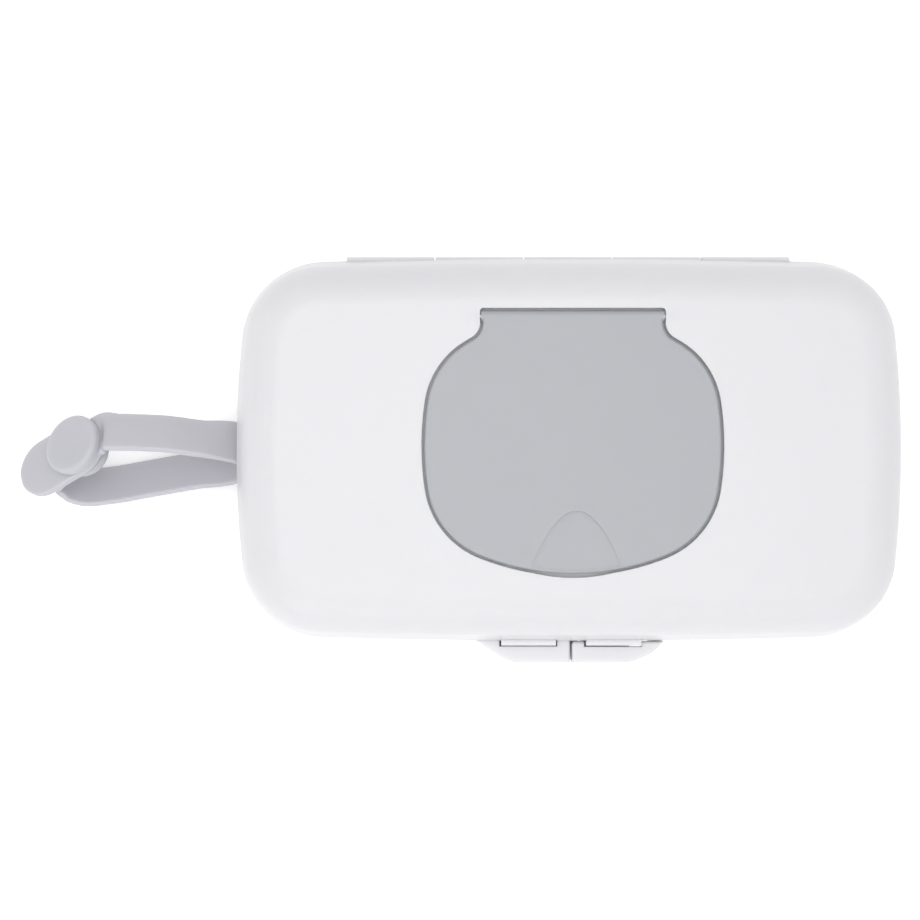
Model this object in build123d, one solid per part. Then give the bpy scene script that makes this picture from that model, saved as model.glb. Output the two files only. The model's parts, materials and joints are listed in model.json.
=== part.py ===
from build123d import *
import math
import os

# A travel wipes case: a white clamshell box with a hinged lid, a small grey door over the
# dispensing opening, a press latch on the front edge and a looped carrying strap at the left end.
# Frame: +X right, +Y to the hinge side, +Z up, origin at the middle of the flat underside.

# Overall size of the closed case
case_length = 190.0
case_depth = 109.6
case_height = 54.5
parting_height = 31.0
corner_radius = 24.0
end_bow_radius = 316.0
side_bow_radius = 2500.0
wall = 1.8
top_wall = 2.0
floor_wall = 2.0
draft = 1.2
lid_draft = 5.0
shoulder_radius = 12.4
foot_radius = 8.0
crown_radius = 4500.0
seam_gap = 0.3
cut_reach = 1.0
web_inset = 0.3
root_overlap = 1.4

# Mouth of the base, its lip and the seal round it
mouth_inset = 4.6
mouth_back = 46.0
mouth_flange = 2.5
mouth_flare = 3.0
lip_thickness = 1.2
lip_height = 2.2
seal_thickness = 1.1
seal_height = 1.2
seal_clearance = 0.3
seal_slack = 0.05
rib_clearance = 0.45
rib_height = 2.5

# Lid hinge along the back edge
hinge_length = 127.0
hinge_reach = 0.4
barrel_radius = 2.6
barrel_relief = 0.8
knuckle_count = 5
knuckle_gap = 0.5
hinge_pin_diameter = 2.4
pin_cover = 1.2
hinge_land_height = 6.0
outer_relief = 2.4
running_clearance = 0.05

# Dispensing door and its pocket in the lid
pocket_half_width = 41.45
pocket_side_radius = 81.0
pocket_side_y = 1.0
pocket_front_radius = 69.0
pocket_front = -34.8
pocket_back = 38.65
pocket_corner_radius = 24.0
shoulder_corner_radius = 23.0
neck_half_width = 25.4
neck_root = 31.9
neck_fillet = 4.8
neck_tip_radius = 0.9
shoulder_slope = 0.57
pocket_wall = 1.6
pocket_depth = 7.0
pocket_floor = 1.8
finger_relief = 0.45
finger_relief_radius = 46.0
well_rim = 5.6
well_wall = 1.6
shelf_clearance = 0.3
door_gap = 0.7
door_thickness = 2.4
door_rim_radius = 0.8
thumb_x = 1.0
thumb_half_width = 12.8
thumb_height = 16.4
thumb_depth = 0.62
thumb_front_depth = 0.2
thumb_margin = 0.9
door_barrel_radius = 1.6
door_barrel_gap = 0.6
door_barrel_end_gap = 0.3
door_pin_diameter = 1.4
door_pin_boss = 4.6
door_boss_depth = 2.6
door_boss_front = 2.2
door_boss_back = 0.4
door_pin_engagement = 3.9

# Dispensing opening, its soft membrane, clamp ring and door seal, as ovals
opening_size = (51.0, 31.0)
membrane_rim = 2.8
membrane_thickness = 1.0
slot_length = 34.0
slot_width = 9.0
slot_lip = 1.6
slot_lip_height = 0.8
clamp_rim = 5.2
clamp_overlap = 0.6
clamp_height = 1.9
peg_diameter = 1.6
peg_gap = 0.3
peg_length = 2.8
liner_thickness = 1.5
liner_rim = 3.4
door_seal_width = 1.6
door_seal_groove = 1.0
door_seal_inset = 0.8

# Front ledge with the press latch
ledge_middle = 0.7
ledge_half_width = 27.1
ledge_reach = 6.4
ledge_height = 14.0
ledge_corner = 9.8
ledge_corner_radius = 9.0
button_corner = (3.2, 3.6)
button_corner_radius = 1.0
ledge_edge_radius = 0.7
ledge_chin = 4.0
notch_depth = 5.6
split_x = 0.9
latch_gap = 0.6
tongue_width = 15.6
tongue_thickness = 0.9
tongue_depth = 4.6
tongue_rise = 2.4
left_tongue_x = -11.3
right_tongue_x = 13.0
tongue_root = 1.3
tongue_bevel = 0.5
hook_nose = 0.35
hook_nose_heights = (0.4, 1.2, 1.8, 2.1)
catch_clearance = 0.25
tongue_clearance = 0.5
button_wall = 1.6
latch_pin_diameter = 2.0
latch_pin_height = 23.0
latch_pin_offset = 2.2
ear_width = 1.8
ear_radius = 1.7
latch_hub_radius = 1.9
latch_web = 2.0
latch_pin_over = 0.3
ear_left_x = 4.2
ear_right_x = 16.2
spring_wire = 0.5
spring_diameter = 3.6
spring_turns = 4
spring_height = 19.0
spring_x = 11.1

# Carrying strap: a moulded band looped round a bar in the left end and closed by a snap
strap_width = 12.5
strap_thickness = 2.2
bar_diameter = 3.6
bar_inset = 5.8
bar_height = 16.0
bar_seat = 2.2
strap_bar_clearance = 0.5
strap_step = 2.0
pad_steps = 14
strap_tip_width = 1.2
recess_half_width = 10.3
recess_depth = 5.1
recess_low = 3.3
recess_high = 27.5
recess_slope_foot = 3.9
recess_slope_head = 0.9
recess_lid_bevel = 1.1
recess_wall = 1.8
recess_cheek = 2.6
paddle_width = 17.8
paddle_reach = 20.9
under_pad_width = 15.0
snap_layer_gap = 1.6
cap_diameter = 17.9
cap_height = 3.0
cap_rim_radius = 1.2
cap_dish = 0.35
back_cap_diameter = 13.0
back_cap_height = 1.8
snap_post_diameter = 2.6
socket_diameter = 10.0
snap_knob_diameter = 4.6
snap_wall = 0.5

# Places on the strap's middle line at rest, measured from the left end of the case, from the bar
# outwards, with the width directions
snap_place = (-48.0, 0.6, 19.3)
snap_along = Vector(-0.83, -0.47, -0.263).normalized()
snap_up = Vector(-0.45, 0.33, 0.83).normalized()
upper_route = [(-2.0, 2.2, 20.6), (-12.0, 3.3, 22.2), (-22.0, 4.6, 23.2), (-30.5, 5.0, 23.4),
               (-36.0, 5.1, 22.7)]
lower_route = [(-2.6, -3.9, 10.7), (-15.0, -6.1, 8.3), (-29.3, -8.6, 6.5), (-41.0, -10.6, 5.6),
               (-49.0, -11.1, 5.5)]
turn_route = [(-54.2, -9.4, 6.8), (-56.5, -7.3, 9.6), (-54.8, -5.6, 12.8)]
bar_entry = (2.4, 0.9)
root_tilt = (0.0, 0.93, -0.37)
strand_tilt = (0.0, 0.8, -0.6)
lower_tilt = (0.0, 0.85, -0.53)

# Values worked out from the sizes above
half_length = case_length / 2
half_depth = case_depth / 2
hinge_y = half_depth + hinge_reach - barrel_radius
hinge_z = parting_height
hinge_pin_half = hinge_length / 2 - pin_cover
relief_radius = barrel_radius + barrel_relief
lid_bottom = parting_height + seam_gap
pocket_floor_top = case_height - pocket_depth
shelf_top = case_height - door_thickness - shelf_clearance
crown_fall = pocket_back ** 2 / (2 * crown_radius)
door_axis_y = pocket_back - door_barrel_gap - door_barrel_radius
door_axis_z = case_height - crown_fall - door_barrel_radius
ledge_front = -half_depth - ledge_reach
ledge_bottom = parting_height - ledge_height
latch_pin_y = -half_depth - latch_pin_offset
bar_x = bar_inset - half_length
bar_half = recess_half_width + bar_seat
left_end = Vector(-half_length, 0, 0)
snap_centre = left_end + Vector(*snap_place)
snap_across = snap_along.cross(snap_up)
under_pad_centre = snap_centre - snap_up * (strap_thickness + snap_layer_gap)


def bowed_face(inset, back=None):
    """Rounded rectangle whose four sides bow outwards, drawn in by inset; back moves its rear side."""
    ends = end_bow_radius - inset
    sides = side_bow_radius - inset
    rear = half_depth - inset if back is None else back
    face = Pos(half_length - end_bow_radius, 0) * Circle(ends)
    face &= Pos(end_bow_radius - half_length, 0) * Circle(ends)
    face &= Pos(0, side_bow_radius - half_depth) * Circle(sides)
    face &= Pos(0, rear - sides) * Circle(sides)
    return fillet(face.vertices(), corner_radius - inset)


def mouth_face(grow):
    """Outline of the mouth of the base, grown outwards."""
    return bowed_face(mouth_inset - grow, mouth_back + grow)


def between(lower, upper, z_low, z_high):
    """Straight-sided solid between two outlines at two heights."""
    return loft([Pos(0, 0, z_low) * lower, Pos(0, 0, z_high) * upper], ruled=True)


def plate(face, z_low, z_high):
    """Upright solid of an outline between two heights."""
    return extrude(Pos(0, 0, z_low) * face, z_high - z_low)


def block(x_low, x_high, y_low, y_high, z_low, z_high):
    """Box between two corners."""
    middle = ((x_low + x_high) / 2, (y_low + y_high) / 2, (z_low + z_high) / 2)
    return Pos(*middle) * Box(x_high - x_low, y_high - y_low, z_high - z_low)


def rod(x_low, x_high, y, z, radius):
    """Round bar along X."""
    turn = Plane(origin=(x_low, y, z), x_dir=(0, 1, 0), z_dir=(1, 0, 0))
    return extrude(turn * Circle(radius), x_high - x_low)


def bar_along_y(x, y_low, y_high, z, radius):
    """Round bar along Y."""
    turn = Plane(origin=(x, y_low, z), x_dir=(1, 0, 0), z_dir=(0, 1, 0))
    return extrude(turn * Circle(radius), y_high - y_low)


def wedge_along_x(points, x_low, x_high):
    """Solid along X with the outline given as (y, z) points."""
    turn = Plane(origin=(x_low, 0, 0), x_dir=(0, 1, 0), z_dir=(1, 0, 0))
    return extrude(turn * make_face(Polyline(*points, close=True)), x_high - x_low)


def oval(size, grow=0.0):
    """Oval outline of a given length and width, grown outwards."""
    return Ellipse(size[0] / 2 + grow, size[1] / 2 + grow)


def crown_ball(drop):
    """Ball whose top gives the gentle crown of the lid, lowered by drop."""
    return Pos(0, 0, case_height - crown_radius) * Rot(0, 90, 0) * Sphere(crown_radius - drop)


def knuckle_spans():
    """X spans of the hinge knuckles, left to right."""
    pitch = hinge_length / knuckle_count
    start = -hinge_length / 2
    return [(start + i * pitch + knuckle_gap / 2, start + (i + 1) * pitch - knuckle_gap / 2)
            for i in range(knuckle_count)]


def pocket_face(grow=0.0):
    """Outline of the door pocket, grown outwards: a wide bowed body with a straight neck behind."""
    side_x = pocket_side_radius - pocket_half_width
    front_y = pocket_front + pocket_front_radius
    face = Pos(-side_x, pocket_side_y) * Circle(pocket_side_radius + grow)
    face &= Pos(side_x, pocket_side_y) * Circle(pocket_side_radius + grow)
    face &= Pos(0, front_y) * Circle(pocket_front_radius + grow)
    neck = neck_half_width + grow
    root = neck_root - shoulder_slope * grow + math.hypot(1, shoulder_slope) * grow
    back = pocket_back + grow
    wide = neck + pocket_half_width
    low = root - shoulder_slope * pocket_half_width
    outline = [(-neck, back), (neck, back), (neck, root), (wide, low), (wide, -case_depth),
               (-wide, -case_depth), (-wide, low), (-neck, root)]
    face &= make_face(Polyline(*outline, close=True))
    corners = face.vertices()
    groups = [([v for v in corners if v.Y < 0], pocket_corner_radius + grow),
              ([v for v in corners if 0 < v.Y < root - 0.1], shoulder_corner_radius + grow),
              ([v for v in corners if abs(v.Y - root) < 0.1], neck_fillet - grow),
              ([v for v in corners if v.Y > back - 0.1], max(neck_tip_radius + grow, 0.3))]
    for group, radius in groups:
        here = [v for v in face.vertices() for w in group if (v.center() - w.center()).length < 0.01]
        face = fillet(here, radius)
    return face


def lid_body(drop, inset):
    """Closed lid form drawn in from the outside by drop at the top and inset at the sides."""
    body = between(bowed_face(inset), bowed_face(inset + lid_draft), lid_bottom, case_height + cut_reach)
    body &= crown_ball(drop)
    top = body.edges().filter_by(lambda e: e.center().Z > case_height - drop - 6.0)
    top = [e for e in top if max(v.Z for v in e.vertices()) - min(v.Z for v in e.vertices()) < 3.0]
    return fillet(top, shoulder_radius - drop)


def front_tongue(middle):
    """Tongue in front of the base wall, with a foot that is let into the front edge of the lid."""
    low = parting_height - tongue_depth
    back = -half_depth - seam_gap
    front = back - tongue_thickness
    top = lid_bottom + tongue_rise
    root = -half_depth + tongue_root
    outline = [(front, low), (back, low), (back, lid_bottom), (root, lid_bottom), (root, top),
               (front + tongue_bevel, top), (front, top - tongue_bevel)]
    return wedge_along_x(outline, middle - tongue_width / 2, middle + tongue_width / 2)


def make_locating_tongue():
    """White tongue that finds the notch in the fixed half of the ledge."""
    return front_tongue(left_tongue_x)


def make_latch_hook():
    """White tongue with a small nose that the press button catches."""
    low = parting_height - tongue_depth
    front = -half_depth - seam_gap - tongue_thickness
    reaches = (0, hook_nose, hook_nose, 0)
    nose = [(front - reach, low + rise) for reach, rise in zip(reaches, hook_nose_heights)]
    x_low = right_tongue_x - tongue_width / 2
    return front_tongue(right_tongue_x) + wedge_along_x(nose, x_low, x_low + tongue_width)


def make_lid_shell():
    """White lid with rim rib, hinge knuckles, door pocket and the floor round the opening."""
    outer = lid_body(0.0, 0.0)
    lid = outer - lid_body(top_wall, wall)
    rib_low = parting_height + seal_height + seal_clearance
    rim = plate(bowed_face(draft * 0.2), rib_low, rib_low + rib_height)
    lid += (rim - plate(mouth_face(lip_thickness + rib_clearance), rib_low, rib_low + rib_height)) & outer
    land_y = mouth_back + lip_thickness + rib_clearance
    land_top = parting_height + hinge_land_height
    land = [(half_depth, rib_low), (land_y, rib_low), (land_y, land_top),
            (half_depth, land_top + half_depth - land_y)]
    lid += wedge_along_x(land, -half_length, half_length) & outer
    lid += door_tray() & outer
    lid -= plate(pocket_face(), shelf_top, case_height + cut_reach)
    relief_y = pocket_front - finger_relief + finger_relief_radius
    relief = Pos(0, relief_y) * Circle(finger_relief_radius)
    front_band = Pos(0, pocket_front) * Rectangle(pocket_half_width, pocket_depth)
    lid -= plate(relief & front_band, shelf_top, case_height + cut_reach)
    lid -= plate(oval(opening_size, well_rim), pocket_floor_top, case_height)
    half_neck = neck_half_width - shelf_clearance
    lid -= rod(-half_neck, half_neck, door_axis_y, door_axis_z, door_barrel_radius + shelf_clearance)
    lid -= rod(-neck_half_width - door_pin_engagement, neck_half_width + door_pin_engagement,
               door_axis_y, door_axis_z, door_pin_diameter / 2)
    lid -= plate(oval(opening_size), 0, case_height)
    lid -= plate(oval(opening_size, membrane_rim), pocket_floor_top - membrane_thickness, case_height)
    for x, y in peg_places():
        lid -= Pos(x, y, pocket_floor_top) * Cylinder(peg_diameter / 2, 2 * peg_length)
    return cut_lid_hinge(lid, outer)


def door_tray():
    """Uncut form under the door: a shelf, a well for the dispensing opening and the pin's seats."""
    shelf_low = shelf_top - pocket_floor
    tray = plate(pocket_face(pocket_wall), shelf_low, case_height)
    tray += plate(oval(opening_size, well_rim + well_wall), pocket_floor_top - pocket_floor, shelf_top)
    trough = rod(-neck_half_width, neck_half_width, door_axis_y, door_axis_z,
                 door_barrel_radius + shelf_clearance + pocket_wall)
    tray += trough & block(-case_length, case_length, 0, pocket_back + pocket_wall, 0, shelf_top)
    for side in (-1, 1):
        middle = side * neck_half_width
        tray += block(middle - door_pin_boss, middle + door_pin_boss, neck_root - door_boss_front,
                      pocket_back + door_boss_back, door_axis_z - door_boss_depth, case_height)
    return tray


def cut_lid_hinge(lid, outer):
    """Relieve the lid round the hinge, then add its own knuckles, bored for the pin."""
    for index, (x_low, x_high) in enumerate(knuckle_spans()):
        if index % 2 == 0:
            lid -= rod(x_low - knuckle_gap, x_high + knuckle_gap, hinge_y, hinge_z, relief_radius)
        else:
            barrel = rod(x_low, x_high, hinge_y, hinge_z, barrel_radius)
            web = block(x_low, x_high, hinge_y - barrel_radius, half_depth - web_inset, lid_bottom,
                        lid_bottom + barrel_radius)
            lid += barrel + (web & outer)
    for side in (-1, 1):
        ends = sorted((side * hinge_length / 2, side * (half_length - corner_radius / 2)))
        lid -= rod(ends[0], ends[1], hinge_y, hinge_z, outer_relief)
    lid -= rod(-hinge_length / 2, hinge_length / 2, hinge_y, hinge_z,
               hinge_pin_diameter / 2 + running_clearance)
    for middle in (left_tongue_x, right_tongue_x):
        lid -= front_tongue(middle)
    return lid - strap_slope()


def strap_recess(grow):
    """Block of the recess in the left end wall, grown outwards for its walls."""
    inner = bar_x + recess_depth + grow
    cheek = recess_half_width + (recess_cheek if grow else 0.0)
    return block(-case_length, inner, -cheek, cheek, recess_low - grow, recess_high + grow)


def strap_slope():
    """Slope above the recess, up into the edge of the lid, that lets the strap swing up."""
    foot = -half_length + recess_slope_foot
    head = -half_length + recess_slope_head
    end = -case_length
    top = lid_bottom + recess_lid_bevel
    profile = Polyline((end, recess_high), (foot, recess_high), (head, lid_bottom),
                       (-half_length, top), (end, top), close=True)
    turn = Plane(origin=(0, recess_half_width, 0), x_dir=(1, 0, 0), z_dir=(0, -1, 0))
    return extrude(turn * make_face(profile), 2 * recess_half_width)


def ledge_face():
    """Plan of the front ledge: a shallow bar with slanted, rounded corners."""
    back = root_overlap - half_depth
    low = ledge_middle - ledge_half_width
    high = ledge_middle + ledge_half_width
    aside, ahead = button_corner
    points = [(low, back), (low, -half_depth), (low + ledge_corner, ledge_front),
              (high - ledge_corner, ledge_front), (high - aside, -half_depth - ahead),
              (high, -half_depth), (high, back)]
    face = make_face(Polyline(*points, close=True))
    return fillet([v for v in face.vertices() if v.Y < -half_depth - cut_reach], ledge_corner_radius)


def ledge_slant():
    """Wedge that slants the underside of the ledge back to the wall."""
    outline = [(ledge_front - cut_reach, ledge_bottom - cut_reach), (ledge_front - cut_reach, ledge_bottom + ledge_chin),
               (-half_depth, ledge_bottom - cut_reach)]
    return wedge_along_x(outline, -half_length, half_length)


def latch_ears():
    """Two ears on the front wall that carry the latch pin."""
    group = []
    for x_low in (ear_left_x, ear_right_x):
        eye = rod(x_low, x_low + ear_width, latch_pin_y, latch_pin_height, ear_radius)
        arm = block(x_low, x_low + ear_width, latch_pin_y, root_overlap - half_depth,
                    latch_pin_height - ear_radius, latch_pin_height + ear_radius)
        group.append(eye + arm)
    return group


def make_base_shell():
    """White base tub with flanged mouth, lip, hinge knuckles, strap recess and latch ledge."""
    outer = between(bowed_face(draft), bowed_face(0), 0, parting_height)
    outer = fillet(outer.edges().group_by(Axis.Z)[0], foot_radius)
    throat = parting_height - mouth_flange
    hollow = between(bowed_face(wall + draft), bowed_face(wall), floor_wall, throat - mouth_flare)
    hollow = fillet(hollow.edges().group_by(Axis.Z)[0], foot_radius - floor_wall)
    hollow += between(bowed_face(wall), mouth_face(0), throat - mouth_flare, throat)
    hollow += plate(mouth_face(0), throat, parting_height)
    base = outer - hollow
    land_low = parting_height - hinge_land_height
    land = [(half_depth, parting_height), (mouth_back, parting_height), (mouth_back, land_low),
            (half_depth, land_low - (half_depth - mouth_back))]
    base += (wedge_along_x(land, -half_length, half_length) & outer) - plate(mouth_face(0), 0, case_height)
    lip = mouth_face(lip_thickness) - mouth_face(0)
    base += plate(lip, parting_height - cut_reach, parting_height + lip_height)
    base += strap_recess(recess_wall) & outer
    base -= strap_recess(0) + strap_slope()
    base -= bar_along_y(bar_x, -bar_half, bar_half, bar_height, bar_diameter / 2)
    base = add_base_latch(base)
    return add_base_hinge(base)


def add_base_latch(base):
    """Fixed left half of the ledge with its notch, and the ears behind the press button."""
    ledge = plate(ledge_face(), ledge_bottom, parting_height)
    ledge &= block(-case_length, split_x - latch_gap / 2, -case_depth, 0, 0, case_height)
    ledge -= ledge_slant()
    rim = ledge.edges().filter_by(lambda e: abs(e.center().Z - parting_height) < 0.01
                                  and e.center().Y < -half_depth - seam_gap)
    ledge = fillet(rim, ledge_edge_radius)
    notch_low = parting_height - notch_depth
    half_notch = tongue_width / 2 + tongue_clearance
    front = -half_depth - seam_gap - tongue_thickness - tongue_clearance
    ledge -= block(left_tongue_x - half_notch, left_tongue_x + half_notch, front, -half_depth,
                   notch_low, case_height)
    base += ledge
    for ear in latch_ears():
        base += ear
    base -= rod(ear_left_x - cut_reach, ear_right_x + ear_width + cut_reach, latch_pin_y,
                latch_pin_height, latch_pin_diameter / 2)
    return base


def add_base_hinge(base):
    """Relieve the back edge round the hinge, then add the base knuckles, bored for the pin."""
    for index, (x_low, x_high) in enumerate(knuckle_spans()):
        if index % 2 == 1:
            base -= rod(x_low - knuckle_gap, x_high + knuckle_gap, hinge_y, hinge_z, relief_radius)
        else:
            barrel = rod(x_low, x_high, hinge_y, hinge_z, barrel_radius)
            web = block(x_low, x_high, hinge_y - barrel_radius, half_depth - web_inset,
                        parting_height - barrel_radius, parting_height)
            base += barrel + web
    base -= rod(-hinge_pin_half, hinge_length / 2, hinge_y, hinge_z, hinge_pin_diameter / 2)
    return base


def make_lid_seal():
    """Soft seal ring round the foot of the lip."""
    grow = lip_thickness + seal_slack
    ring = mouth_face(grow + seal_thickness) - mouth_face(grow)
    return plate(ring, parting_height, parting_height + seal_height)


def make_hinge_pin():
    """Steel pin through all lid hinge knuckles."""
    return rod(-hinge_pin_half, hinge_pin_half, hinge_y, hinge_z, hinge_pin_diameter / 2)


def make_strap_bar():
    """Round bar across the recess that the strap loops over."""
    return bar_along_y(bar_x, -bar_half, bar_half, bar_height, bar_diameter / 2)


def make_latch_pin():
    """Steel pin that the press button rocks on."""
    return rod(ear_left_x - latch_pin_over, ear_right_x + ear_width + latch_pin_over, latch_pin_y,
               latch_pin_height, latch_pin_diameter / 2)


def make_latch_spring():
    """Small compression coil behind the lower edge of the press button."""
    start = ledge_front + button_wall
    wall_y = -half_depth + draft * (1 - spring_height / parting_height)
    length = wall_y - start - spring_wire
    path = Helix(pitch=length / spring_turns, height=length, radius=(spring_diameter - spring_wire) / 2)
    profile = Plane(origin=path @ 0, z_dir=path % 0) * Circle(spring_wire / 2)
    coil = sweep(profile, path=path)
    place = Plane(origin=(spring_x, start + spring_wire / 2, spring_height), x_dir=(1, 0, 0),
                  z_dir=(0, 1, 0))
    return place * coil


def make_latch_button():
    """White press button: the right half of the ledge, a shell that rocks on the latch pin."""
    behind = -half_depth - seam_gap
    keep = block(split_x + latch_gap / 2, case_length, -case_depth, behind, 0, case_height)
    body = plate(ledge_face(), ledge_bottom, parting_height) & keep
    body -= ledge_slant()
    inner_corner = body.edges().filter_by(Axis.Z).sort_by(lambda e: e.center().X - e.center().Y)[0]
    body = fillet(inner_corner, button_corner_radius)
    rim = body.edges().filter_by(lambda e: abs(e.center().Z - parting_height) < 0.01
                                 and e.center().Y < behind - seam_gap)
    body = fillet(rim, ledge_edge_radius)
    inner = offset(ledge_face(), -button_wall)
    side = split_x + latch_gap / 2 + button_wall
    inner &= Pos(side + case_length / 2, -half_depth) * Rectangle(case_length, case_depth)
    top = parting_height - button_wall
    hollow = plate(inner, ledge_bottom - cut_reach, top)
    hollow += Pos(0, ledge_reach / 2, 0) * hollow
    body -= hollow
    front = -half_depth - seam_gap - tongue_thickness - hook_nose - catch_clearance
    half_notch = tongue_width / 2 + tongue_clearance
    body -= block(right_tongue_x - half_notch, right_tongue_x + half_notch, front, 0,
                  top - cut_reach, case_height)
    hub_low = ear_left_x + ear_width + latch_gap
    hub_high = ear_right_x - latch_gap
    hub = rod(hub_low, hub_high, latch_pin_y, latch_pin_height, latch_hub_radius)
    web = block(hub_low, hub_high, ledge_front + button_wall / 2, latch_pin_y,
                latch_pin_height - latch_web / 2, latch_pin_height + latch_web / 2)
    body += hub + web
    bore = latch_pin_diameter / 2 + running_clearance
    return body - rod(hub_low, hub_high, latch_pin_y, latch_pin_height, bore)


def peg_places():
    """Places of the four pegs that hold the clamp ring in the pocket floor."""
    beyond = membrane_rim + peg_diameter / 2 + peg_gap
    a = opening_size[0] / 2 + beyond
    b = opening_size[1] / 2 + beyond
    return [(a, 0), (-a, 0), (0, b), (0, -b)]


def make_orifice_membrane():
    """Soft oval membrane with the dispensing slot and a raised lip round the slot."""
    low = pocket_floor_top - membrane_thickness
    sheet = plate(oval(opening_size, membrane_rim), low, pocket_floor_top)
    slot = SlotOverall(slot_length, slot_width)
    lip = plate(offset(slot, slot_lip), low, pocket_floor_top + slot_lip_height)
    return sheet + lip - plate(slot, 0, case_height)


def make_clamp_ring():
    """White ring that clamps the membrane to the pocket floor with four pegs."""
    low = pocket_floor_top
    ring = plate(oval(opening_size, clamp_rim), low, low + clamp_height)
    ring -= plate(oval(opening_size, -clamp_overlap), 0, case_height)
    for x, y in peg_places():
        ring += Pos(x, y, low - peg_length / 2 + cut_reach) * Cylinder(peg_diameter / 2, peg_length)
    return ring


def thumb_scoop():
    """Cutting form of the thumb scoop: a parabolic arch whose floor rises to the front rim."""
    foot = pocket_front + door_gap + thumb_margin
    apex = foot + thumb_height
    left = (thumb_x - thumb_half_width, foot)
    right = (thumb_x + thumb_half_width, foot)
    arch = make_face([Bezier(left, (thumb_x, foot + 2 * thumb_height), right), Line(right, left)])
    front_limit = pocket_front_radius - door_gap - thumb_margin
    arch += Pos(thumb_x, foot) * Rectangle(2 * thumb_half_width, thumb_margin)
    arch &= Pos(0, pocket_front + pocket_front_radius) * Circle(front_limit)
    high = 2 * case_height
    slant = wedge_along_x([(pocket_front, case_height - thumb_front_depth), (apex, case_height - thumb_depth),
                           (apex, high), (pocket_front, high)], -half_length, half_length)
    return plate(arch, 0, high) & slant


def make_door_panel():
    """Grey door: a crowned panel with a rounded rim, a thumb scoop and a hinge barrel."""
    face = pocket_face(-door_gap)
    low = case_height - door_thickness
    panel = plate(face, low, case_height + cut_reach) & crown_ball(0.0)
    panel -= block(-case_length, case_length, door_axis_y, case_depth, 0, 2 * case_height)
    rim = [e for e in panel.edges() if e.center().Z > low + door_thickness / 2
           and e.center().Y < door_axis_y - door_gap
           and max(v.Z for v in e.vertices()) - min(v.Z for v in e.vertices()) < 1.0]
    panel = fillet(rim, door_rim_radius)
    panel -= thumb_scoop()
    half_neck = neck_half_width - door_barrel_end_gap
    panel += rod(-half_neck, half_neck, door_axis_y, door_axis_z, door_barrel_radius)
    panel -= rod(-half_neck - neck_fillet, half_neck + neck_fillet, door_axis_y, door_axis_z,
                 door_pin_diameter / 2 + running_clearance)
    return panel


def make_door_pin():
    """Steel pin across the neck that the door turns on."""
    reach = neck_half_width + door_pin_engagement
    return rod(-reach, reach, door_axis_y, door_axis_z, door_pin_diameter / 2)


def make_door_liner():
    """Oval plate under the door with a groove for the door seal."""
    high = case_height - door_thickness
    low = high - liner_thickness
    body = plate(oval(opening_size, liner_rim), low, high)
    return body - plate(door_seal_ring(), 0, low + door_seal_groove)


def door_seal_ring():
    """Flat outline of the oval door seal."""
    grow = liner_rim - door_seal_inset
    return oval(opening_size, grow) - oval(opening_size, grow - door_seal_width)


def make_door_seal():
    """Soft oval seal ring seated in the liner groove, just above the clamp ring."""
    low = pocket_floor_top + clamp_height + seal_clearance
    high = case_height - door_thickness - liner_thickness + door_seal_groove
    return plate(door_seal_ring(), low, high)


def strap_knots():
    """Knots of the bent middle of the strap as (place, width direction), from under pad to paddle."""
    pad_head = under_pad_centre + snap_along * (under_pad_width / 2 - 1)
    paddle_tail = snap_centre - snap_along * (paddle_width / 2)
    centre = bar_diameter / 2 + strap_bar_clearance + strap_thickness / 2
    ahead, aside = bar_entry
    knots = [(pad_head, snap_across)]
    turn_tilt = snap_across * 0.7 + Vector(*lower_tilt) * 0.3
    knots += [(left_end + Vector(*p), turn_tilt) for p in reversed(turn_route)]
    knots += [(left_end + Vector(*p), Vector(*lower_tilt)) for p in reversed(lower_route[1:])]
    knots += [(left_end + Vector(*lower_route[0]), Vector(*root_tilt))]
    knots += [(Vector(bar_x - ahead, -aside, bar_height - centre), Vector(0, 1, 0))]
    for angle in range(-90, 91, 30):
        bend = math.radians(angle)
        place = Vector(bar_x + centre * math.cos(bend), aside * angle / 180,
                       bar_height + centre * math.sin(bend))
        knots.append((place, Vector(0, 1, 0)))
    knots += [(Vector(bar_x - ahead, aside, bar_height + centre), Vector(0, 1, 0))]
    knots += [(left_end + Vector(*upper_route[0]), Vector(*root_tilt))]
    knots += [(left_end + Vector(*p), Vector(*strand_tilt)) for p in upper_route[1:]]
    return knots + [(paddle_tail, snap_across)]


def knot_tangents(places, first, last):
    """Direction of travel at each knot, from its two neighbours weighted by their distance."""
    runs = [(b - a).length for a, b in zip(places, places[1:])]
    slopes = [(b - a) / run for a, b, run in zip(places, places[1:], runs)]
    middle = [(slopes[i] * runs[i + 1] + slopes[i + 1] * runs[i]) / (runs[i] + runs[i + 1])
              for i in range(len(runs) - 1)]
    return [first] + middle + [last], runs


def along_curve(start, end, leave, arrive, run, share):
    """Place and heading on a cubic curve between two knots with given directions."""
    s = share
    place = start * (2 * s ** 3 - 3 * s ** 2 + 1) + end * (3 * s ** 2 - 2 * s ** 3)
    place += leave * (run * (s ** 3 - 2 * s ** 2 + s)) + arrive * (run * (s ** 3 - s ** 2))
    heading = (end - start) * (6 * s - 6 * s ** 2)
    heading += leave * (run * (3 * s ** 2 - 4 * s + 1)) + arrive * (run * (3 * s ** 2 - 2 * s))
    return place, heading.normalized()


def pad_width(along, reach, wide, narrow):
    """Width of a flat pad: a round end at reach, and a round swelling over the band behind it."""
    radius = wide / 2
    beyond = max(along - (reach - radius), -along, 0.0)
    swell = 2 * math.sqrt(max(radius * radius - beyond * beyond, 0.0))
    return max(swell, strap_tip_width) if along > 0 else max(swell, narrow)


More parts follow.
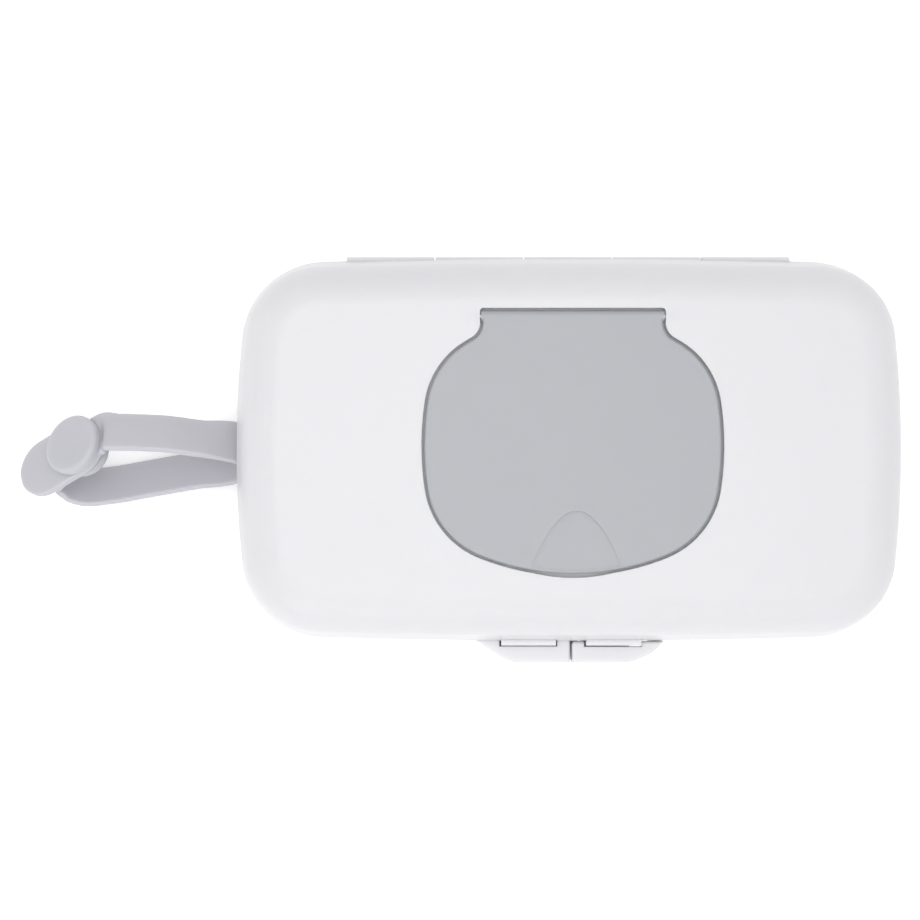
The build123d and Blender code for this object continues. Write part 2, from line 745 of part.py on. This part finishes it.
def flat_stations(centre, ahead, start, reach, wide):
    """Sections along a flat pad from start to its round end, measured from the snap axis."""
    turn = math.pi / 2 / pad_steps
    stops = [start + (reach - start) * math.sin(turn * i) for i in range(pad_steps + 1)]
    return [(centre + ahead * s, pad_width(s, reach, wide, strap_width)) for s in stops]


def section(place, across, ahead, width):
    """Cross-section of the band, square to its run."""
    return Plane(origin=place, x_dir=across, z_dir=ahead) * Rectangle(width, strap_thickness)


def make_strap():
    """Soft grey band: one strip from the under pad, round the bar and back to the oval paddle."""
    knots = strap_knots()
    headings, runs = knot_tangents([k[0] for k in knots], snap_along, snap_along)
    pad = flat_stations(under_pad_centre, -snap_along, 1 - under_pad_width / 2, under_pad_width / 2,
                        under_pad_width)
    sections = [section(p, snap_across, snap_along, w) for p, w in reversed(pad)]
    for i, run in enumerate(runs):
        steps = max(2, round(run / strap_step))
        for k in range(1, steps + 1):
            if i == len(runs) - 1 and k == steps:
                break
            share = k / steps
            place, ahead = along_curve(knots[i][0], knots[i + 1][0], headings[i], headings[i + 1],
                                       run, share)
            across = knots[i][1] * (1 - share) + knots[i + 1][1] * share
            across = (across - ahead * across.dot(ahead)).normalized()
            sections.append(section(place, across, ahead, strap_width))
    paddle = flat_stations(snap_centre, snap_along, -paddle_width / 2, paddle_reach, paddle_width)
    sections += [section(p, snap_across, snap_along, w) for p, w in paddle]
    return loft(sections, ruled=True)


def snap_plane(height):
    """Plane square to the snap axis at a height above the middle of the paddle."""
    return Plane(origin=snap_centre + snap_up * height, x_dir=snap_along, z_dir=snap_up)


def snap_disc(low, high, diameter):
    """Disc on the snap axis."""
    return extrude(snap_plane(low) * Circle(diameter / 2), high - low)


def make_snap_front_cap():
    """Round button on the paddle with a rounded rim, a faint dish and a post."""
    half = strap_thickness / 2
    cap = snap_disc(half, half + cap_height, cap_diameter)
    top = cap.edges().sort_by(lambda e: (e.center() - snap_centre).dot(snap_up))[-1]
    cap = fillet(top, cap_rim_radius)
    ball_radius = (cap_diameter * 0.36) ** 2 / (2 * cap_dish) + cap_dish / 2
    dish = snap_centre + snap_up * (half + cap_height - cap_dish + ball_radius)
    cap -= Pos(dish.X, dish.Y, dish.Z) * Sphere(ball_radius)
    return cap + snap_disc(-half - snap_wall, half, snap_post_diameter)


def make_snap_socket():
    """Ring under the paddle that the knob snaps into."""
    half = strap_thickness / 2
    low = -half - snap_layer_gap + 0.1
    ring = snap_disc(low, -half, socket_diameter)
    ring -= snap_disc(low - 1, -half - snap_wall, snap_knob_diameter + 0.3)
    return ring - snap_disc(-half - snap_wall, -half, snap_post_diameter)


def make_snap_knob():
    """Round knob on the under pad, inside the socket."""
    top = -strap_thickness / 2 - snap_wall - 0.15
    low = -strap_thickness / 2 - snap_layer_gap
    return snap_disc(low, top, snap_knob_diameter)


def make_snap_back_cap():
    """Shallow round cap under the pad, with a post up to the knob."""
    high = -strap_thickness / 2 - snap_layer_gap - strap_thickness
    cap = snap_disc(high - back_cap_height, high, back_cap_diameter)
    low_edge = cap.edges().sort_by(lambda e: (e.center() - snap_centre).dot(snap_up))[0]
    cap = fillet(low_edge, back_cap_height * 0.5)
    return cap + snap_disc(high, high + strap_thickness, snap_post_diameter)


def make_bored_strap():
    """The strap with its two snap holes."""
    strap = make_strap()
    half = strap_thickness / 2
    strap -= snap_disc(-half - 0.1, half + 0.1, snap_post_diameter)
    under = -strap_thickness - snap_layer_gap
    return strap - snap_disc(under - half - 0.1, under + half + 0.1, snap_post_diameter)


makers = {
    "base_shell": make_base_shell,
    "lid_seal": make_lid_seal,
    "lid_hinge_pin": make_hinge_pin,
    "latch_pivot_pin": make_latch_pin,
    "latch_spring": make_latch_spring,
    "strap_bar": make_strap_bar,
    "lid_shell": make_lid_shell,
    "orifice_membrane": make_orifice_membrane,
    "orifice_clamp_ring": make_clamp_ring,
    "locating_tongue": make_locating_tongue,
    "latch_hook": make_latch_hook,
    "door_hinge_pin": make_door_pin,
    "door_panel": make_door_panel,
    "door_liner": make_door_liner,
    "door_seal": make_door_seal,
    "latch_button": make_latch_button,
    "strap": make_bored_strap,
    "snap_front_cap": make_snap_front_cap,
    "snap_socket": make_snap_socket,
    "snap_knob": make_snap_knob,
    "snap_back_cap": make_snap_back_cap,
}

os.makedirs("parts", exist_ok=True)
for name, maker in makers.items():
    piece = maker()
    export_step(piece, os.path.join("parts", name + ".step"))
    size = piece.bounding_box().size
    print(name, len(piece.solids()), "solid", round(piece.volume, 1), "mm3",
          [round(v, 2) for v in (size.X, size.Y, size.Z)])
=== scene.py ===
import json
import math

import bpy
import numpy as np
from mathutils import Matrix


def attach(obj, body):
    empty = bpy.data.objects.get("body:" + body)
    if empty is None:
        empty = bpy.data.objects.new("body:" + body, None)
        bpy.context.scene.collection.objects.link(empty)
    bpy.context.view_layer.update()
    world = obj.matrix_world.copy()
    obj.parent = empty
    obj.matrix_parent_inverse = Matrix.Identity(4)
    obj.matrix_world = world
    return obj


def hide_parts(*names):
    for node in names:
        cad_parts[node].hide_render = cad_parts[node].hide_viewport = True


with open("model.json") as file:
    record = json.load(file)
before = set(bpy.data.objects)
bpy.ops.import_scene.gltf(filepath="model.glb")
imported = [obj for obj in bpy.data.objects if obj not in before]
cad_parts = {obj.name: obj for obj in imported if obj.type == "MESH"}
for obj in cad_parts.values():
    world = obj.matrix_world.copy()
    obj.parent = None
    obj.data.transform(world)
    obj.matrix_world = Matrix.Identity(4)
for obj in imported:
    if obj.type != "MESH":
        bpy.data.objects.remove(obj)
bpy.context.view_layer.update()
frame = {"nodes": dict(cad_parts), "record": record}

# The white travel wipes case as it lies on a white table: moulded shells, grey flip door and
# a soft grey carrying strap closed by a round snap. Lengths are in metres.
MM = 0.001

# Camera over the case, as the photograph was taken
CAMERA_X = -30.9 * MM
CAMERA_Y = -3.0 * MM
CAMERA_HEIGHT = 531.0 * MM
SENSOR = 36.0
LENS = 68.2

# Soft lamps in watts and metres, and the brightness of the surround
KEY_POWER = 3.5
KEY_PLACE = (-0.05, -0.02, 1.1)
KEY_SIDE = 0.7
FILL_POWER = 2.7
FILL_PLACE = (-0.3, -0.9, 0.8)
FILL_SIDE = 0.9
LAMP_TARGET = (0, 0, 0.03)
SURROUND = 0.82

# Colours as plain display values, 0 to 1
WHITE_TONE = (0.857, 0.856, 0.866)
GREY_TONE = (0.657, 0.665, 0.684)
STRAP_TONE = (0.742, 0.74, 0.768)
SEAL_TONE = (0.86, 0.86, 0.86)
STEEL_TONE = (0.74, 0.74, 0.76)
FLOOR_TONE = (0.93, 0.93, 0.935)
FLOOR_GLOW = 0.2
FLOOR_HALF = 3.0

# How far light spreads under the surface of each plastic, red, green and blue in turn
WHITE_SPREAD = (1.0, 0.96, 0.86)
GREY_SPREAD = (1.0, 0.85, 0.6)
STRAP_SPREAD = (1.0, 0.9, 0.75)
SEAL_SPREAD = (1.0, 1.0, 0.9)

# Grain and swirls of the moulded skin, shared by every material
SWIRL_SCALE = 38.0
SWIRL_DISTORTION = 0.6
GRAIN_HEIGHT = 0.04 * MM

# Smooth shading of the CAD pieces
WELD_REACH = 0.002 * MM
SHARP_ANGLE = math.radians(28)
FACE_WEIGHT = 90

# The strap band
BAND_WIDTH = 12.5 * MM
BAND_THICKNESS = 2.2 * MM
BAND_EDGE = 0.55 * MM
BAND_STEP = 0.45 * MM
BAND_TIP = 0.25 * MM
PADDLE_WIDTH = 17.8 * MM
PADDLE_REACH = 20.9 * MM
UNDER_PAD_WIDTH = 15.0 * MM
LAYER_GAP = 1.6 * MM
PAD_RINGS = 60
BAND_AROUND = 24
TURN_SHARE = 0.7
BAR_PLACE = np.array([-89.2, 0.0, 16.0]) * MM
BAR_LOOP = 3.4 * MM
BAR_AHEAD = 2.4 * MM
BAR_ASIDE = 0.9 * MM
SNAP_CENTRE = np.array([-143.0, 0.6, 19.3]) * MM
SNAP_ALONG = np.array([-0.8390, -0.4751, -0.2658])
SNAP_UP = np.array([-0.4499, 0.3300, 0.8299])
UPPER_ROUTE = [(-97.0, 2.2, 20.6), (-107.0, 3.3, 22.2), (-117.0, 4.6, 23.2), (-125.5, 5.0, 23.4),
               (-131.0, 5.1, 22.7)]
LOWER_ROUTE = [(-97.6, -3.9, 10.7), (-110.0, -6.1, 8.3), (-124.3, -8.6, 6.5), (-136.0, -10.6, 5.6),
               (-144.0, -11.1, 5.5)]
TURN_ROUTE = [(-149.2, -9.4, 6.8), (-151.5, -7.3, 9.6), (-149.8, -5.6, 12.8)]
ROOT_TILT = np.array([0.0, 0.93, -0.37])
STRAND_TILT = np.array([0.0, 0.8, -0.6])
LOWER_TILT = np.array([0.0, 0.85, -0.53])


def unit(v):
    """Vectors scaled to length one, along the last axis."""
    return v / np.linalg.norm(v, axis=-1, keepdims=True)


def linear(tone):
    """A display colour as the linear value that the shaders use."""
    c = np.asarray(tone)
    value = np.where(c <= 0.04045, c / 12.92, ((c + 0.055) / 1.055) ** 2.4)
    return (*[float(v) for v in value], 1.0)


def skin_group():
    """Shader group of a moulded skin: fine grain, soft swirls in gloss and a faint tone drift."""
    group = bpy.data.node_groups.new("moulded_skin", "ShaderNodeTree")
    face = group.interface
    for name, kind, value in (("Tone", "NodeSocketColor", (0.8, 0.8, 0.8, 1.0)),
                              ("Drift", "NodeSocketFloat", 0.02), ("Gloss", "NodeSocketFloat", 0.3),
                              ("Gloss Spread", "NodeSocketFloat", 0.05),
                              ("Grain Scale", "NodeSocketFloat", 2500.0),
                              ("Grain Depth", "NodeSocketFloat", 0.05)):
        socket = face.new_socket(name=name, in_out="INPUT", socket_type=kind)
        socket.default_value = value
    for name, kind in (("Color", "NodeSocketColor"), ("Roughness", "NodeSocketFloat"),
                       ("Normal", "NodeSocketVector")):
        face.new_socket(name=name, in_out="OUTPUT", socket_type=kind)
    nodes, links = group.nodes, group.links
    enter = nodes.new("NodeGroupInput")
    leave = nodes.new("NodeGroupOutput")
    place = nodes.new("ShaderNodeTexCoord")
    swirl = nodes.new("ShaderNodeTexNoise")
    swirl.inputs["Scale"].default_value = SWIRL_SCALE
    swirl.inputs["Detail"].default_value = 3.0
    swirl.inputs["Distortion"].default_value = SWIRL_DISTORTION
    grain = nodes.new("ShaderNodeTexNoise")
    grain.inputs["Detail"].default_value = 2.0
    links.new(place.outputs["Object"], swirl.inputs["Vector"])
    links.new(place.outputs["Object"], grain.inputs["Vector"])
    links.new(enter.outputs["Grain Scale"], grain.inputs["Scale"])
    centred = nodes.new("ShaderNodeMath")
    centred.operation = "SUBTRACT"
    centred.inputs[1].default_value = 0.5
    links.new(swirl.outputs["Fac"], centred.inputs[0])
    drift = nodes.new("ShaderNodeMath")
    drift.operation = "MULTIPLY_ADD"
    drift.inputs[2].default_value = 1.0
    links.new(centred.outputs[0], drift.inputs[0])
    links.new(enter.outputs["Drift"], drift.inputs[1])
    tint = nodes.new("ShaderNodeVectorMath")
    tint.operation = "SCALE"
    links.new(enter.outputs["Tone"], tint.inputs[0])
    links.new(drift.outputs[0], tint.inputs["Scale"])
    links.new(tint.outputs[0], leave.inputs["Color"])
    gloss = nodes.new("ShaderNodeMath")
    gloss.operation = "MULTIPLY_ADD"
    links.new(centred.outputs[0], gloss.inputs[0])
    links.new(enter.outputs["Gloss Spread"], gloss.inputs[1])
    links.new(enter.outputs["Gloss"], gloss.inputs[2])
    links.new(gloss.outputs[0], leave.inputs["Roughness"])
    bump = nodes.new("ShaderNodeBump")
    bump.inputs["Distance"].default_value = GRAIN_HEIGHT
    links.new(enter.outputs["Grain Depth"], bump.inputs["Strength"])
    links.new(grain.outputs["Fac"], bump.inputs["Height"])
    links.new(bump.outputs["Normal"], leave.inputs["Normal"])
    return group


SKIN = skin_group()


def moulded(name, tone, **values):
    """Material whose colour, gloss and grain come from the moulded skin group."""
    material = bpy.data.materials.new(name)
    material.use_nodes = True
    shader = material.node_tree.nodes["Principled BSDF"]
    skin = material.node_tree.nodes.new("ShaderNodeGroup")
    skin.node_tree = SKIN
    skin.inputs["Tone"].default_value = linear(tone)
    for socket, value in values.items():
        skin.inputs[socket.replace("_", " ")].default_value = value
    links = material.node_tree.links
    links.new(skin.outputs["Color"], shader.inputs["Base Color"])
    links.new(skin.outputs["Roughness"], shader.inputs["Roughness"])
    links.new(skin.outputs["Normal"], shader.inputs["Normal"])
    return material, shader


def let_light_in(shader, weight, spread, reach):
    """Share, colour spread and reach of the light that travels under a surface."""
    shader.inputs["Subsurface Weight"].default_value = weight
    shader.inputs["Subsurface Radius"].default_value = spread
    shader.inputs["Subsurface Scale"].default_value = reach


def white_plastic():
    """Satin white moulded plastic of the shells."""
    material, shader = moulded("white_plastic", WHITE_TONE, Drift=0.012, Gloss=0.34, Gloss_Spread=0.10,
                               Grain_Scale=3800.0, Grain_Depth=0.18)
    shader.inputs["IOR"].default_value = 1.46
    let_light_in(shader, 0.7, WHITE_SPREAD, 3 * MM)
    return material


def grey_plastic():
    """Satin grey moulded plastic of the door."""
    material, shader = moulded("grey_plastic", GREY_TONE, Drift=0.016, Gloss=0.32, Gloss_Spread=0.10,
                               Grain_Scale=3800.0, Grain_Depth=0.18)
    shader.inputs["IOR"].default_value = 1.47
    let_light_in(shader, 0.4, GREY_SPREAD, 3 * MM)
    return material


def strap_rubber():
    """Soft grey rubber of the strap and its snap, with a silky sheen."""
    material, shader = moulded("strap_rubber", STRAP_TONE, Drift=0.02, Gloss=0.52, Gloss_Spread=0.12,
                               Grain_Scale=5200.0, Grain_Depth=0.3)
    shader.inputs["IOR"].default_value = 1.45
    shader.inputs["Sheen Weight"].default_value = 0.18
    shader.inputs["Sheen Roughness"].default_value = 0.5
    let_light_in(shader, 0.4, STRAP_SPREAD, 4 * MM)
    return material


def seal_rubber():
    """Milky soft rubber of the seals and the slotted membrane."""
    material, shader = moulded("seal_rubber", SEAL_TONE, Drift=0.03, Gloss=0.6, Gloss_Spread=0.15,
                               Grain_Scale=4200.0, Grain_Depth=0.35)
    let_light_in(shader, 0.3, SEAL_SPREAD, 2 * MM)
    return material


def drawn_steel():
    """Bright drawn steel of pins and spring, with a fine grain."""
    material, shader = moulded("drawn_steel", STEEL_TONE, Drift=0.08, Gloss=0.28, Gloss_Spread=0.2,
                               Grain_Scale=9000.0, Grain_Depth=0.25)
    shader.inputs["Metallic"].default_value = 1.0
    return material


def dress_nodes(materials):
    """Gives every CAD node its material by the slot that the record names, with smooth shading."""
    for part in frame["record"]["subparts"]:
        node = frame["nodes"][part["node"]]
        node.data.materials.clear()
        node.data.materials.append(materials[part["material_slot"]])
        weld = node.modifiers.new("weld", "WELD")
        weld.merge_threshold = WELD_REACH
        split = node.modifiers.new("split", "EDGE_SPLIT")
        split.split_angle = SHARP_ANGLE
        even = node.modifiers.new("even", "WEIGHTED_NORMAL")
        even.mode = "FACE_AREA"
        even.weight = FACE_WEIGHT
        even.keep_sharp = True


def mesh_piece(name, points, faces, material, body):
    """Smooth mesh piece that rides on a CAD body."""
    mesh = bpy.data.meshes.new(name)
    mesh.from_pydata([tuple(p) for p in points], [], [tuple(f) for f in faces])
    mesh.polygons.foreach_set("use_smooth", np.ones(len(mesh.polygons), dtype=bool))
    mesh.materials.append(material)
    mesh.update()
    piece = bpy.data.objects.new(name, mesh)
    bpy.context.scene.collection.objects.link(piece)
    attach(piece, body)
    return piece


def tube_faces(rings, around):
    """Quads between neighbouring rings of points, and a face at each end."""
    i, j = np.meshgrid(np.arange(rings - 1), np.arange(around), indexing="ij")
    k = (j + 1) % around
    quads = np.stack([i * around + j, i * around + k, (i + 1) * around + k, (i + 1) * around + j], -1)
    ends = [list(range(around))[::-1], [(rings - 1) * around + n for n in range(around)]]
    return [list(q) for q in quads.reshape(-1, 4)] + ends


def strap_knots():
    """Knots of the strap's middle line as (place, width direction), from under pad to paddle."""
    across = np.cross(SNAP_ALONG, SNAP_UP)
    under = SNAP_CENTRE - SNAP_UP * (BAND_THICKNESS + LAYER_GAP)
    side = np.array([0.0, 1.0, 0.0])
    knots = [(under + SNAP_ALONG * (UNDER_PAD_WIDTH / 2 - MM), across)]
    turning = across * TURN_SHARE + LOWER_TILT * (1 - TURN_SHARE)
    knots += [(np.array(p) * MM, turning) for p in reversed(TURN_ROUTE)]
    knots += [(np.array(p) * MM, LOWER_TILT) for p in reversed(LOWER_ROUTE[1:])]
    knots += [(np.array(LOWER_ROUTE[0]) * MM, ROOT_TILT)]
    knots += [(BAR_PLACE + np.array([-BAR_AHEAD, -BAR_ASIDE, -BAR_LOOP]), side)]
    for angle in range(-90, 91, 30):
        bend = math.radians(angle)
        offset = np.array([BAR_LOOP * math.cos(bend), BAR_ASIDE * angle / 180, BAR_LOOP * math.sin(bend)])
        knots.append((BAR_PLACE + offset, side))
    knots += [(BAR_PLACE + np.array([-BAR_AHEAD, BAR_ASIDE, BAR_LOOP]), side)]
    knots += [(np.array(UPPER_ROUTE[0]) * MM, ROOT_TILT)]
    knots += [(np.array(p) * MM, STRAND_TILT) for p in UPPER_ROUTE[1:]]
    return knots + [(SNAP_CENTRE - SNAP_ALONG * PADDLE_WIDTH / 2, across)]


def pad_profile(stops, reach, wide):
    """Width and thickness of a flat pad: a round end at reach whose rim is rounded over.

    At a distance d into the round end, or behind the pad's middle, the width is 2 sqrt(r^2 - d^2),
    and behind the middle it is never less than the band's own width."""
    radius = wide / 2
    beyond = np.maximum(np.maximum(stops - (reach - radius), -stops), 0.0)
    swell = 2 * np.sqrt(np.maximum(radius ** 2 - beyond ** 2, 0.0))
    width = np.where(stops > 0, np.maximum(swell, BAND_TIP), np.maximum(swell, BAND_WIDTH))
    inward = np.clip((reach - stops) / BAND_EDGE, 0.0, 1.0)
    rounding = BAND_EDGE * (1 - np.sqrt(1 - (1 - inward) ** 2))
    return width, BAND_THICKNESS - 2 * rounding


def flat_pad(centre, ahead, start, reach, wide):
    """Stations of a flat pad as arrays, closer together towards its round end."""
    stops = start + (reach - start) * np.sin(np.linspace(0, math.pi / 2, PAD_RINGS))
    width, thickness = pad_profile(stops, reach, wide)
    return centre + stops[:, None] * ahead, width, thickness


def strap_line():
    """Places, headings, width directions, widths and thicknesses along the whole strap.

    Between two knots p and q with headings m and n, at the share s of a run of length r, the line is
    p (2s^3 - 3s^2 + 1) + q (3s^2 - 2s^3) + m r (s^3 - 2s^2 + s) + n r (s^3 - s^2).
    The heading at a knot is the mean of its two slopes, weighted by the length of the other run."""
    knots = strap_knots()
    places = np.array([k[0] for k in knots])
    tilts = np.array([k[1] for k in knots])
    runs = np.linalg.norm(np.diff(places, axis=0), axis=1)
    slopes = np.diff(places, axis=0) / runs[:, None]
    middle = slopes[:-1] * runs[1:, None] + slopes[1:] * runs[:-1, None]
    middle = middle / (runs[:-1] + runs[1:])[:, None]
    headings = np.vstack([SNAP_ALONG, middle, SNAP_ALONG])
    line, ahead, across = [], [], []
    for i, run in enumerate(runs):
        s = np.linspace(0, 1, max(3, int(run / BAND_STEP)), endpoint=False)[:, None]
        s = s[1:] if i == 0 else s
        line.append(places[i] * (2 * s ** 3 - 3 * s ** 2 + 1) + places[i + 1] * (3 * s ** 2 - 2 * s ** 3)
                    + headings[i] * run * (s ** 3 - 2 * s ** 2 + s)
                    + headings[i + 1] * run * (s ** 3 - s ** 2))
        ahead.append(slopes[i] * (6 * s - 6 * s ** 2) + headings[i] * (3 * s ** 2 - 4 * s + 1)
                     + headings[i + 1] * (3 * s ** 2 - 2 * s))
        ease = s * s * (3 - 2 * s)
        across.append(tilts[i] * (1 - ease) + tilts[i + 1] * ease)
    line, ahead, across = np.vstack(line), unit(np.vstack(ahead)), np.vstack(across)
    width = np.full(len(line), BAND_WIDTH)
    thickness = np.full(len(line), BAND_THICKNESS)
    level = np.cross(SNAP_ALONG, SNAP_UP)
    under = SNAP_CENTRE - SNAP_UP * (BAND_THICKNESS + LAYER_GAP)
    first = flat_pad(under, -SNAP_ALONG, MM - UNDER_PAD_WIDTH / 2, UNDER_PAD_WIDTH / 2, UNDER_PAD_WIDTH)
    last = flat_pad(SNAP_CENTRE, SNAP_ALONG, -PADDLE_WIDTH / 2, PADDLE_REACH, PADDLE_WIDTH)
    line = np.vstack([first[0][::-1], line, last[0]])
    flat = np.tile(SNAP_ALONG, (len(first[0]), 1))
    ahead = np.vstack([flat, ahead, flat])
    flat = np.tile(level, (len(first[0]), 1))
    across = np.vstack([flat, across, flat])
    width = np.concatenate([first[1][::-1], width, last[1]])
    thickness = np.concatenate([first[2][::-1], thickness, last[2]])
    across = unit(across - ahead * np.sum(across * ahead, axis=1, keepdims=True))
    return line, ahead, across, width, thickness


def band_outline(width, thickness, around):
    """Points round a rectangle of the given width and thickness whose corners are quarter circles."""
    edge = np.minimum(np.minimum(BAND_EDGE, thickness * 0.49), width * 0.49)[:, None]
    quarter = around // 4
    turn = np.linspace(0, math.pi / 2, quarter)
    angle = np.concatenate([turn + q * math.pi / 2 for q in range(4)])[None, :]
    sign_u = np.concatenate([np.full(quarter, s) for s in (1, -1, -1, 1)])[None, :]
    sign_v = np.concatenate([np.full(quarter, s) for s in (1, 1, -1, -1)])[None, :]
    u = sign_u * (width[:, None] / 2 - edge) + edge * np.cos(angle)
    v = sign_v * (thickness[:, None] / 2 - edge) + edge * np.sin(angle)
    return u, v


def build_strap(material):
    """The strap as one band: a rounded rectangle carried along the strap's line."""
    line, ahead, across, width, thickness = strap_line()
    u, v = band_outline(width, thickness, BAND_AROUND)
    up = np.cross(ahead, across)
    points = line[:, None, :] + u[:, :, None] * across[:, None, :] + v[:, :, None] * up[:, None, :]
    rings, around = u.shape
    piece = mesh_piece("strap_band", points.reshape(-1, 3), tube_faces(rings, around), material,
                       "strap")
    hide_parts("strap")
    return piece


def light_path_floor():
    """Pale floor that shows white to the camera and to reflections, and keeps the shadow."""
    material = bpy.data.materials.new("floor")
    material.use_nodes = True
    tree = material.node_tree
    plain = tree.nodes["Principled BSDF"]
    plain.inputs["Base Color"].default_value = linear(FLOOR_TONE)
    plain.inputs["Roughness"].default_value = 0.9
    plain.inputs["Specular IOR Level"].default_value = 0.1
    seen = tree.nodes.new("ShaderNodeBsdfDiffuse")
    seen.inputs["Color"].default_value = (1.0, 1.0, 1.0, 1.0)
    glow = tree.nodes.new("ShaderNodeEmission")
    glow.inputs["Strength"].default_value = FLOOR_GLOW
    white = tree.nodes.new("ShaderNodeAddShader")
    tree.links.new(seen.outputs[0], white.inputs[0])
    tree.links.new(glow.outputs[0], white.inputs[1])
    path = tree.nodes.new("ShaderNodeLightPath")
    either = tree.nodes.new("ShaderNodeMath")
    either.operation = "MAXIMUM"
    tree.links.new(path.outputs["Is Camera Ray"], either.inputs[0])
    tree.links.new(path.outputs["Is Glossy Ray"], either.inputs[1])
    every = tree.nodes.new("ShaderNodeMath")
    every.operation = "MAXIMUM"
    tree.links.new(either.outputs[0], every.inputs[0])
    tree.links.new(path.outputs["Is Transmission Ray"], every.inputs[1])
    choice = tree.nodes.new("ShaderNodeMixShader")
    tree.links.new(every.outputs[0], choice.inputs[0])
    tree.links.new(plain.outputs[0], choice.inputs[1])
    tree.links.new(white.outputs[0], choice.inputs[2])
    tree.links.new(choice.outputs[0], tree.nodes["Material Output"].inputs["Surface"])
    return material


def build_stage():
    """Plain pale floor under the case."""
    half = FLOOR_HALF
    mesh = bpy.data.meshes.new("floor")
    corners = [(-half, -half, 0), (half, -half, 0), (half, half, 0), (-half, half, 0)]
    mesh.from_pydata(corners, [], [(0, 1, 2, 3)])
    mesh.materials.append(light_path_floor())
    floor = bpy.data.objects.new("floor", mesh)
    bpy.context.scene.collection.objects.link(floor)


def area_light(name, place, target, size, power):
    """Square soft light at a place, facing a target."""
    lamp = bpy.data.lights.new(name, "AREA")
    lamp.shape = "SQUARE"
    lamp.size = size
    lamp.energy = power
    light = bpy.data.objects.new(name, lamp)
    light.location = place
    aim = np.asarray(target) - np.asarray(place)
    level = math.hypot(aim[0], aim[1])
    light.rotation_euler = (math.atan2(level, -aim[2]), 0, math.atan2(aim[1], aim[0]) - math.pi / 2)
    bpy.context.scene.collection.objects.link(light)


def build_lights():
    """Soft light from straight above and from the front, and an even pale surround."""
    area_light("key", KEY_PLACE, LAMP_TARGET, KEY_SIDE, KEY_POWER)
    area_light("fill", FILL_PLACE, LAMP_TARGET, FILL_SIDE, FILL_POWER)
    world = bpy.data.worlds.new("surround")
    world.use_nodes = True
    world.node_tree.nodes["Background"].inputs["Color"].default_value = (1, 1, 1, 1)
    world.node_tree.nodes["Background"].inputs["Strength"].default_value = SURROUND
    bpy.context.scene.world = world


def build_camera():
    """Camera straight above the case."""
    lens = bpy.data.cameras.new("camera")
    lens.sensor_width = SENSOR
    lens.lens = LENS
    lens.clip_start = 0.01
    camera = bpy.data.objects.new("camera", lens)
    camera.location = (CAMERA_X, CAMERA_Y, CAMERA_HEIGHT)
    bpy.context.scene.collection.objects.link(camera)
    bpy.context.scene.camera = camera


def build_scene():
    """Dresses the case and sets it on its floor under soft light."""
    bpy.context.scene.view_settings.view_transform = "Standard"
    materials = {"white_shell": white_plastic(), "grey_door": grey_plastic(), "strap_grey": strap_rubber(),
                 "soft_seal": seal_rubber(), "steel": drawn_steel()}
    build_camera()
    dress_nodes(materials)
    build_strap(materials["strap_grey"])
    build_stage()
    build_lights()


build_scene()
